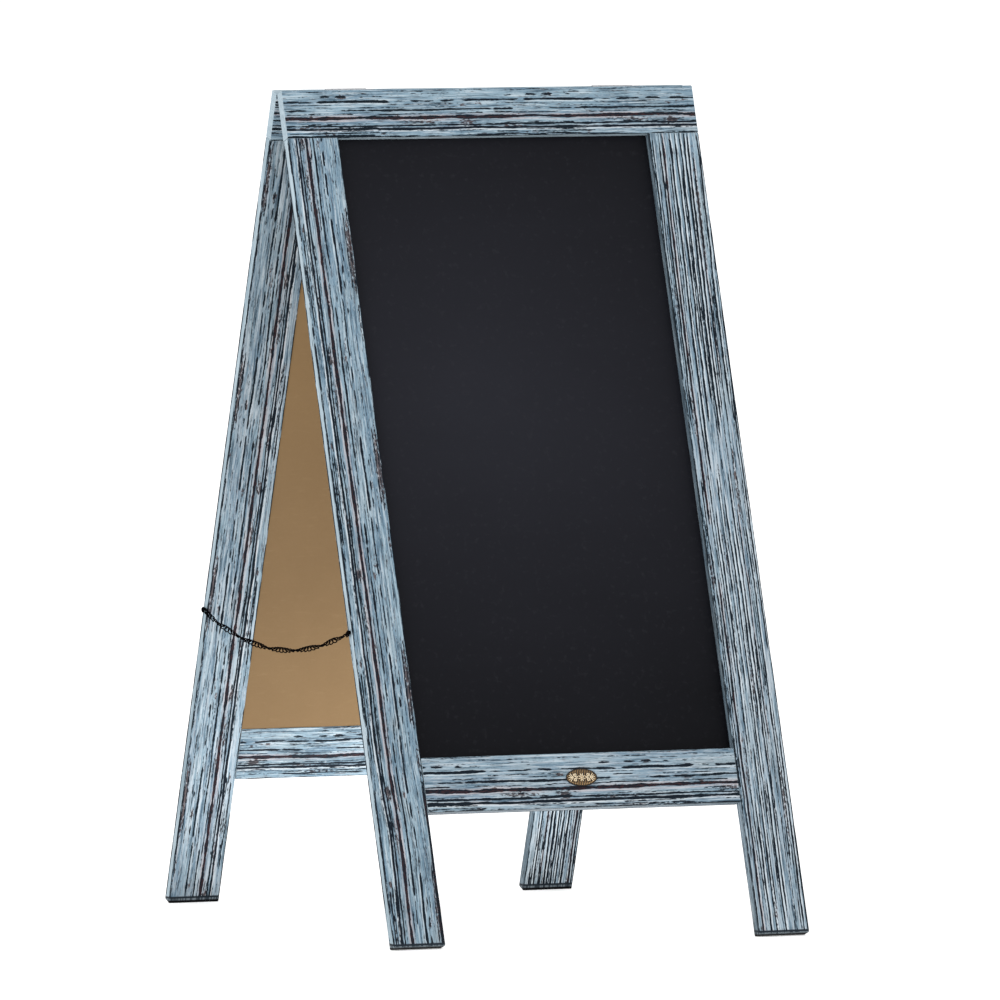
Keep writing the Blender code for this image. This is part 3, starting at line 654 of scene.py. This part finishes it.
BOARDS = [
    # name, frame, along, outer face, inner face
    ("top_rail_front", "front", "x",
     lay(FIGURE, True, 0.93, 8.2, 0.0, 1, 3),
     lay(FIGURE, False, 0.93, 8.2, 0.35, 1, 4)),
    ("bottom_rail_front", "front", "x",
     lay(FIGURE, True, 0.833, 6.3, 0.21, 1, 5, washed=0.35),
     lay(FIGURE, False, 0.93, 8.2, 0.6, 1, 6)),
    ("top_rail_back", "back", "x",
     lay(FIGURE, True, 0.93, 8.2, 0.4, 1, 7),
     lay(FIGURE, False, 0.93, 8.2, 0.1, 1, 8)),
    ("bottom_rail_back", "back", "x",
     lay(FIGURE, True, 0.93, 6.0, 0.7, 1, 9),
     # painted shade on the back bottom rail's inner face, between the frames
     lay(FIGURE, True, 0.93, 6.0, 0.3, -1, 10, dull=0.13)),
    ("stile_left_front", "front", "z",
     lay(FIGURE, False, 1.0, 0.0, 0.887, -1, 11, bend=foot_bend, toe=True),
     lay(FIGURE, True, 1.0, 0.0, 0.5, -1, 12)),
    ("stile_right_front", "front", "z",
     lay(FINE_FIGURE, True, 1.0, 0.0, 0.0, 1, 13),
     lay(FIGURE, False, 1.0, 0.0, 0.2, 1, 14)),
    ("stile_left_back", "back", "z",
     lay(FINE_FIGURE, True, 1.0, 0.0, 0.4, 1, 15),
     lay(FIGURE, False, 1.0, 2.2, 0.55, -1, 16, washed=0.35)),
    ("stile_right_back", "back", "z",
     lay(FIGURE, False, 1.0, 0.0, 0.3, -1, 17),
     lay(FINE_FIGURE, True, 1.0, 0.0, 0.3, 1, 18)),
]
for number, (node, tag, along, outer, inner) in enumerate(BOARDS):
    build_board(f"board_{node}", tag, node, along, outer, inner,
                panel_groove(tag, node, along), number + 1)


# ---- Looks of the other parts ----
def chalkboard_look():
    """Black satin sheet with fine chalk dust and a painted reflection: a pale glow, thickest above the
    middle.
    """
    look = Look("chalkboard")
    place = look.place()
    cloud = look.noise(place, 6.0, 3, 0.5)
    dust = look.noise(place, 140.0, 4, 0.65)
    glow_streaks = look.streaks(place, (5, 5, 30), detail=2, rough=0.5)
    # painted reflection: a pale glow, widest above the middle of the board, mottled and streaked
    painted_glow = look.node("TexGradient", {"Vector": look.stretch(
        place, (1.75, 0, 2.05), (0.1, 0, -1.24))}, 1, gradient_type="SPHERICAL")
    painted_glow = look.vary(painted_glow, cloud, 0.16)
    painted_glow = look.vary(painted_glow, glow_streaks, 0.1)
    colour = look.mix(look.ramp(painted_glow, 0.08, 0.95, smooth=False), (0.0008, 0.0009, 0.002),
                      (0.0116, 0.0122, 0.0172))
    colour = look.tint(colour, dust, 0.52, 0.8, 0.22, (0.032, 0.033, 0.038))
    return look.surface(Base_Color=colour, Roughness=look.ramp(dust, 0.3, 0.7, 0.5, 0.62),
                        Specular_IOR_Level=0.09, Normal=look.bump(dust, 0.12, 0.0002))


def hardboard_look():
    look = Look("hardboard")
    place = look.place()
    mottle = look.noise(place, 16.0, 4, 0.6)
    fibre = look.noise(place, 420.0, 3, 0.65)
    strand = look.streaks(place, (60, 300, 300))
    colour = look.mix(look.ramp(mottle, 0.3, 0.7), (0.177, 0.113, 0.055),
                      (0.187, 0.12, 0.059))
    colour = look.tint(colour, fibre, 0.5, 0.8, 0.16, (0.15, 0.098, 0.046))
    colour = look.tint(colour, strand, 0.45, 0.25, 0.12, (0.29, 0.205, 0.11))
    # painted light: the hardboard is lighter towards the top and darker low down
    high = look.ramp(look.split(place, "Z"), 0.35, 0.8, 0, 0.6)
    colour = look.mix(high, colour, (0.305, 0.196, 0.092))
    return look.surface(Base_Color=colour, Roughness=look.ramp(fibre, 0.3, 0.7, 0.75, 0.9),
                        Specular_IOR_Level=0.15, Normal=look.bump(fibre, 0.25, 0.0002))


def metal_look(name, dark, light, scuffed, rough_low, rough_high, metallic, gloss, ior):
    """Metal with fine mottling and scuffs; the dark and light colours vary with the mottling, the
    scuffed one shows on the scuffs.
    """
    look = Look(name)
    place = look.place()
    mottle = look.noise(place, 245.0, 3, 0.6)
    scuffs = look.noise(place, 700.0, 3, 0.7)
    colour = look.mix(look.ramp(mottle, 0.35, 0.65), dark, light)
    colour = look.tint(colour, scuffs, 0.62, 0.75, 0.6, scuffed)
    return look.surface(Base_Color=colour, Metallic=metallic, Specular_IOR_Level=gloss, IOR=ior,
                        Roughness=look.ramp(mottle, 0.3, 0.7, rough_low, rough_high),
                        Normal=look.bump(scuffs, 0.2, 0.00005))


def dowel_look():
    look = Look("beech_dowel")
    place = look.place()
    ring = look.streaks(place, (40, 900, 900))
    pores = look.streaks(place, (160, 2500, 2500), detail=2, rough=0.5)
    colour = look.mix(look.ramp(ring, 0.3, 0.7), (0.5, 0.34, 0.19), (0.66, 0.48, 0.29))
    colour = look.tint(colour, pores, 0.6, 0.72, 0.6, (0.28, 0.17, 0.09))
    return look.surface(Base_Color=colour, Roughness=look.ramp(ring, 0.3, 0.7, 0.6, 0.75),
                        Specular_IOR_Level=0.3, Normal=look.bump(pores, 0.2, 0.0001))


def badge_look():
    """Antique brass: the attribute high is 0 in the blackened ground and 1 on rubbed tops."""
    look = Look("antique_brass")
    place = look.place()
    high = look.attribute("high")
    tarnish = look.noise(place, 900.0, 3, 0.65)
    level = look.vary(high, tarnish, 0.35)
    colour = look.mix(look.ramp(level, 0.1, 0.45), (0.014, 0.009, 0.006),
                      (0.38, 0.23, 0.088))
    colour = look.mix(look.ramp(level, 0.55, 0.95), colour, (0.72, 0.62, 0.44))
    return look.surface(Base_Color=colour, Metallic=0.15, Specular_IOR_Level=0.4,
                        Roughness=look.ramp(level, 0.2, 0.9, 0.65, 0.32),
                        Normal=look.bump(tarnish, 0.2, 0.00005))


CHALK, HARDBOARD = chalkboard_look(), hardboard_look()
# the black steel's low IOR keeps its thin wires dark
PLATED = metal_look("plated_steel", (0.36, 0.37, 0.39), (0.5, 0.51, 0.53), (0.22, 0.22, 0.24),
                    0.34, 0.52, 0.8, 0.4, 1.5)
BLACK = metal_look("black_steel", (0.0012, 0.0012, 0.0014), (0.003, 0.003, 0.0032),
                   (0.012, 0.011, 0.01), 0.5, 0.65, 0.0, 0.03, 1.06)
DOWEL, BRASS = dowel_look(), badge_look()
for node in nodes:
    for start, look in (("chalkboard", CHALK), ("hardboard", HARDBOARD), ("dowel", DOWEL),
                        ("hinge", PLATED), ("chain", BLACK)):
        if node.startswith(start):
            nodes[node].data.materials.clear()
            nodes[node].data.materials.append(look)


# ---- Small meshes ----
def add_piece(name, points, faces, look, body, replaced):
    mesh = bpy.data.meshes.new(name)
    mesh.from_pydata([tuple(p) for p in points], [], faces)
    mesh.validate()
    mesh.shade_smooth()
    return join_model(name, mesh, look, body, replaced)


def disc_mesh(rings, count):
    """Faces that join rings of count points, closed by a face over the first and the last."""
    faces = []
    for r in range(rings - 1):
        for i in range(count):
            j = (i + 1) % count
            faces.append((r * count + i, (r + 1) * count + i, (r + 1) * count + j, r * count + j))
    faces.append(tuple(range(count)))
    faces.append(tuple(reversed(range((rings - 1) * count, rings * count))))
    return faces


# ---- Chain: twisted links ----
WIRE = 1.35 * MM
LINK_WIDE = 5.4 * MM             # between the middles of a link's two sides
LINK_END = 1.6 * MM              # how far a link's rounded ends reach along it
LINK_CROSS = math.pi / 4         # angle between two links where they meet
LONG_LINKS, SHORT_LINKS = 22, 2  # in a half's long segments, and in its short one
# how many half turns the chain has made about its own line at shares of its span
TURN_SHARES = (0.0, 0.115, 0.264, 0.45, 0.606, 0.806, 0.934, 1.0)
HALF_TURNS = (0, 1, 2, 3, 4, 5, 6, 6)
SIDE_FIRST, SIDE_REST = 1.75 * MM, 3.5 * MM    # from the stile's side to the links' middles
FIRST_TWIST = math.pi / 7        # the links under the screw heads lie nearly flat
SHANK = 1.15 * MM                # radius of the chain screws' shanks
LINK_STEPS, WIRE_STEPS = 40, 10  # points round a link, and round its wire
CURVE_POINTS = 4001

side_x = min(v.co.x for v in nodes["stile_left_front"].data.vertices)


def hanging_curve():
    """y, z and length along the open chain: a parabola through its joints' places at rest."""
    first = Vector(joints["chain_front_1_link"]["pos_m"])
    next_one = Vector(joints["chain_front_2_link"]["pos_m"])
    bend = (first.z - next_one.z) / (first.y ** 2 - next_one.y ** 2)
    lowest = first.z - bend * first.y ** 2
    y = np.linspace(first.y, -first.y, CURVE_POINTS)
    z = lowest + bend * y * y
    arc = np.concatenate([[0], np.cumsum(np.hypot(np.diff(y), np.diff(z)))])
    return y, z, arc


def link_points(centre, ahead, flat_turn, twist, inner_length):
    """Rings of points round one link's wire; ahead is its direction in the chain's plane."""
    side_ways = Vector((1, 0, 0))
    upward = ahead.cross(side_ways)
    long_half = (inner_length + WIRE) / 2 - LINK_END
    bow = LINK_WIDE / 2
    bend = math.pi * math.sqrt((LINK_END ** 2 + bow ** 2) / 2)
    half_round = 2 * long_half + bend
    middles = []
    for i in range(LINK_STEPS):
        run = 2 * half_round * i / LINK_STEPS
        sign = 1 if run < half_round else -1       # the second half mirrors the first
        run = run if run < half_round else run - half_round
        if run < 2 * long_half:
            a, b = run - long_half, -bow
        else:
            angle = math.pi * ((run - 2 * long_half) / bend - 0.5)
            a, b = long_half + LINK_END * math.cos(angle), bow * math.sin(angle)
        a, b = sign * a, sign * b
        turn = flat_turn + twist * a / (inner_length + WIRE)
        across = upward * math.cos(turn) + side_ways * math.sin(turn)
        middles.append(centre + ahead * a + across * b)
    points = []
    for i, middle in enumerate(middles):
        tangent = (middles[(i + 1) % LINK_STEPS] - middles[i - 1]).normalized()
        outward = middle - centre
        outward = (outward - tangent * outward.dot(tangent)).normalized()
        other = tangent.cross(outward)
        for k in range(WIRE_STEPS):
            angle = 2 * math.pi * k / WIRE_STEPS
            points.append(middle + (outward * math.cos(angle) + other * math.sin(angle)) * WIRE / 2)
    return points


def link_faces(start):
    faces = []
    for i in range(LINK_STEPS):
        for k in range(WIRE_STEPS):
            i2, k2 = (i + 1) % LINK_STEPS, (k + 1) % WIRE_STEPS
            faces.append(tuple(start + a * WIRE_STEPS + b
                               for a, b in ((i, k), (i2, k), (i2, k2), (i, k2))))
    return faces


def build_chain():
    """All the links, in one piece for each CAD segment, which carries them when it swings."""
    y, z, arc = hanging_curve()
    total = arc[-1]
    starts = {}
    for half in ("front", "back"):
        places = [joints[f"chain_{half}_{k}_link"]["pos_m"][1] for k in range(1, 5)]
        along = [float(np.interp(place, y, arc)) for place in places]
        starts[half] = along if half == "front" else [total - a for a in along]
    per_half = LONG_LINKS + SHORT_LINKS
    middle = starts["front"][3] + (total - starts["back"][3] - starts["front"][3]) / 2
    length = {"front": middle, "back": total - middle}
    inner_length = (max(length.values()) + SHANK) / per_half

    def turned(place):
        share = (np.interp(place, arc, y) - y[0]) / (y[-1] - y[0])
        return -math.pi * float(np.interp(share, TURN_SHARES, HALF_TURNS))

    for half in ("front", "back"):
        pitch = (length[half] + SHANK) / per_half
        members = {k: [] for k in range(1, 5)}
        for i in range(per_half):
            run = (i + 0.5) * pitch - SHANK
            segment = max(k for k in range(1, 5) if k == 1 or run > starts[half][k - 1])
            if i >= LONG_LINKS:
                segment = 4
            place = run if half == "front" else total - run
            centre_yz = [float(np.interp(place, arc, values)) for values in (y, z)]
            ahead_yz = [float(np.interp(place + MM, arc, values)
                              - np.interp(place - MM, arc, values)) for values in (y, z)]
            ahead = Vector((0, *ahead_yz)).normalized()
            out = SIDE_FIRST + (SIDE_REST - SIDE_FIRST) * min(1, i / 2)
            centre = Vector((side_x - out, *centre_yz))
            twist = LINK_CROSS + (turned(place + pitch) - turned(place - pitch)) / 2
            if i == 0:
                twist = FIRST_TWIST
            members[segment].append(link_points(centre, ahead, turned(place), twist,
                                                inner_length))
        for k, links in members.items():
            node = f"chain_{half}_{k}"
            points = [p for link in links for p in link]
            faces = [f for n in range(len(links)) for f in link_faces(n * LINK_STEPS * WIRE_STEPS)]
            add_piece(f"links_{half}_{k}", points, faces, BLACK, node, node)


# ---- Chain screws: pan heads with a cross recess ----
HEAD_HIGH, HEAD_RIM = 2.4 * MM, 0.25 * MM
HEAD_SIDES, DOME_RINGS = 64, 18


def build_chain_screw(half):
    node = f"chain_screw_{half}"
    low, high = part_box(node)
    y, z = (low.y + high.y) / 2, (low.z + high.z) / 2
    radius = (high.y - low.y) / 2
    reach = side_x - low.x            # top of the head
    under = reach - HEAD_HIGH
    profile = [(0.75 * SHANK, -6 * MM), (SHANK, -4.5 * MM), (SHANK, under), (radius * 0.94, under),
               (radius, under + HEAD_RIM)]
    for i in range(1, DOME_RINGS + 1):
        r = radius * (1 - (i / (DOME_RINGS + 0.5)) ** 1.25)
        dome = (HEAD_HIGH - HEAD_RIM) * math.sqrt(1 - (r / radius) ** 2.6)
        profile.append((r, under + HEAD_RIM + dome))
    points = []
    for r, out in profile:
        for k in range(HEAD_SIDES):
            angle = 2 * math.pi * k / HEAD_SIDES
            a, b = r * math.cos(angle + 0.4), r * math.sin(angle + 0.4)    # across the recess
            deep = 0.0
            if out > under + 0.3 * MM:
                arm = min(abs(a), abs(b))
                reach_in = rise(0.6 * radius - max(abs(a), abs(b)), 0, 0.35 * MM)
                deep = 1.3 * MM * float((1 - rise(arm, 0.32 * MM, 0.62 * MM)) * reach_in)
            points.append((side_x - out + deep, y + r * math.cos(angle),
                           z + r * math.sin(angle)))
    faces = [tuple(reversed(face)) for face in disc_mesh(len(profile), HEAD_SIDES)]
    add_piece(f"screw_{half}", points, faces, BLACK, f"{half}_frame", node)


build_chain()
for half in ("front", "back"):
    build_chain_screw(half)


# ---- Badge: an oval with a rosette, scrolls and beads ----
RIB_STEP = 2.1                   # mm between the ribs of the badge's ground
GROUND = 0.36                    # level of the ground, as a share of the badge's thickness
BADGE_SIDES, FIELD_RINGS, BEADS_ROUND = 288, 54, 46


def spiral(cx, cy, start, turns, r0, r1):
    """A stroke that winds from radius r0 to r1 around a centre, in mm."""
    angles = np.linspace(start, start + 2 * math.pi * turns, 60)
    radii = np.linspace(r0, r1, 60)
    return np.stack([cx + radii * np.cos(angles), cy + radii * np.sin(angles)], 1)


def arc_stroke(points):
    """A smooth stroke through three points, in mm."""
    t = np.linspace(0, 1, 30)[:, None]
    a, b, c = (np.array(p, float) for p in points)
    return (1 - t) ** 2 * a + 2 * t * (1 - t) * (2 * b - (a + c) / 2) + t * t * c


def badge_strokes():
    """(points in mm, half width in mm) of every raised stroke."""
    strokes = []
    for mirror in (-1, 1):
        flip = np.array([mirror, 1])
        for swing in (-1, 1):
            turned = np.array([mirror, swing])
            strokes.append((spiral(7.9, 2.55, -0.6, 1.15, 0.5, 1.9) * turned, 0.52))
            strokes.append((arc_stroke([(4.6, 1.0), (6.6, 0.5), (9.4, 1.4)]) * turned, 0.5))
            strokes.append((arc_stroke([(10.6, 0.5), (12.3, 2.0), (13.6, 3.4)]) * turned, 0.55))
            strokes.append((arc_stroke([(12.4, 0.4), (13.8, 1.3), (15.2, 1.9)]) * turned, 0.45))
        strokes.append((arc_stroke([(10.2, 0.0), (13.0, 0.0), (15.9, 0.0)]) * flip, 0.5))
    for k in range(8):
        angle = 2 * math.pi * (k + 0.5) / 8
        ray = np.linspace(1.7, 3.5, 12)[:, None] * np.array([math.cos(angle), math.sin(angle)])
        strokes.append((ray, 0.62))
    strokes.append((np.zeros((1, 2)), 1.0))
    return [(points * np.array([1.0, 1.22]), wide * 1.2) for points, wide in strokes]


def build_badge():
    low, high = local_box("badge", "front")
    half_x, half_z = (high[0] - low[0]) / 2 / MM, (high[2] - low[2]) / 2 / MM
    thick = (high[1] - low[1]) / MM
    centre_x, centre_z = (high[0] + low[0]) / 2, (high[2] + low[2]) / 2
    insets = [0.0, 0.0, 0.12, 0.3, 0.55, 0.8, 0.95, 1.1]
    levels = [0.0, 0.45, 0.66, 0.78, 0.8, 0.72, 0.55, 0.4]
    angles = 2 * math.pi * np.arange(BADGE_SIDES) / BADGE_SIDES
    rings, heights = [], []
    for inset, level in zip(insets, levels):
        rings.append(np.stack([(half_x - inset) * np.cos(angles),
                               (half_z - inset) * np.sin(angles)], 1))
        heights.append(np.full(BADGE_SIDES, level))
    strokes = badge_strokes()
    beads = []
    for k in range(BEADS_ROUND):
        angle = 2 * math.pi * (k + 0.5) / BEADS_ROUND
        if math.sin(angle) < -0.25:
            beads.append(((half_x - 2.2) * math.cos(angle), (half_z - 2.2) * math.sin(angle)))
    beads = np.array(beads)
    for j in range(1, FIELD_RINGS + 1):
        share = 1 - j / (FIELD_RINGS + 0.4)
        x = (half_x - 1.1) * share * np.cos(angles)
        z = (half_z - 1.1) * share * np.sin(angles)
        here = np.stack([x, z], 1)
        ribs = 0.22 * (0.5 + 0.5 * np.cos(2 * math.pi * x / RIB_STEP)) ** 1.5
        gaps = [np.linalg.norm(here[:, None] - stroke[None], axis=2).min(1)
                for stroke, _ in strokes]
        for gap, (_, wide) in zip(gaps, strokes):
            ribs = ribs * rise(gap, wide * 1.25 + 0.1, wide * 1.25 + 0.6)
        level = GROUND + ribs
        for gap, (_, wide) in zip(gaps, strokes):
            level = np.maximum(level, GROUND + 0.6 * rise(wide * 1.25 - gap, 0.0, wide * 0.9))
        gap = np.linalg.norm(here[:, None] - beads[None], axis=2).min(1)
        level = np.maximum(level, GROUND + 0.42 * np.sqrt(np.clip(1 - (gap / 0.62) ** 2, 0, 1)))
        rings.append(here)
        heights.append(level)
    flat = np.concatenate(rings) * MM
    level = np.concatenate(heights)
    points = np.stack([centre_x + flat[:, 0], high[1] - level * thick * MM,
                       centre_z + flat[:, 1]], 1)
    points = [PLACE["front"] @ Vector(p) for p in points]
    faces = disc_mesh(len(rings), BADGE_SIDES)
    piece = add_piece("badge_plate", points, faces, BRASS, "front_frame", "badge")
    layer = piece.data.attributes.new("high", "FLOAT", "POINT")
    high_up = np.clip((level - GROUND) / 0.58, 0, 1)
    high_up[:len(insets) * BADGE_SIDES] *= 0.12      # painted shadow: the rim is darkened all round as a dark outline
    layer.data.foreach_set("value", high_up.astype(np.float32))


build_badge()


# ---- Camera, light and floor ----
AZIMUTH, ELEVATION, DISTANCE = math.radians(-22.99), math.radians(3.3), 16.95
AIM = Vector((0, 0, 0.5))
back = Vector((math.sin(AZIMUTH) * math.cos(ELEVATION), -math.cos(AZIMUTH) * math.cos(ELEVATION),
               math.sin(ELEVATION)))
right = Vector((math.cos(AZIMUTH), math.sin(AZIMUTH), 0))
up = back.cross(right)
camera_data = bpy.data.cameras.new("camera")
camera_data.sensor_width = 36.0
camera_data.lens = 534.24
camera_data.shift_x = 0.017
camera_data.shift_y = -0.0175
camera_data.clip_end = 60
camera = bpy.data.objects.new("camera", camera_data)
camera.matrix_world = Matrix.Translation(AIM + back * DISTANCE) @ Matrix(
    (right, up, back)).transposed().to_4x4()
bpy.context.scene.collection.objects.link(camera)
bpy.context.scene.camera = camera

world = bpy.data.worlds.new("studio")
world.use_nodes = True
for name, value in (("Color", (1, 1, 1, 1)), ("Strength", 1.08)):
    world.node_tree.nodes["Background"].inputs[name].default_value = value
bpy.context.scene.world = world
bpy.context.scene.view_settings.view_transform = "Standard"


def lamp(name, place, aim, size, power):
    data = bpy.data.lights.new(name, "AREA")
    data.shape = "RECTANGLE"
    data.size, data.size_y = size
    data.energy = power
    made = bpy.data.objects.new(name, data)
    made.matrix_world = Matrix.Translation(place) @ (
        Vector(place) - Vector(aim)).to_track_quat("Z", "Y").to_matrix().to_4x4()
    made.visible_camera = False
    bpy.context.scene.collection.objects.link(made)


lamp("key_light", (-3.2, -1.6, 2.6), AIM, (2.4, 2.4), 60)
lamp("under_light", (0, 0, 0.012), (0, 0, 1), (0.4, 0.5), 2.2)

floor_mesh = bpy.data.meshes.new("floor")
floor_mesh.from_pydata([(-30, -30, 0), (30, -30, 0), (30, 30, 0), (-30, 30, 0)], [],
                       [(0, 1, 2, 3)])
floor = bpy.data.objects.new("floor", floor_mesh)
bpy.context.scene.collection.objects.link(floor)
floor_look = Look("floor")
floor_mesh.materials.append(floor_look.surface(
    Base_Color=(0.86, 0.86, 0.86, 1), Roughness=0.9, Specular_IOR_Level=0.0,
    Emission_Color=(1, 1, 1, 1), Emission_Strength=0.4))
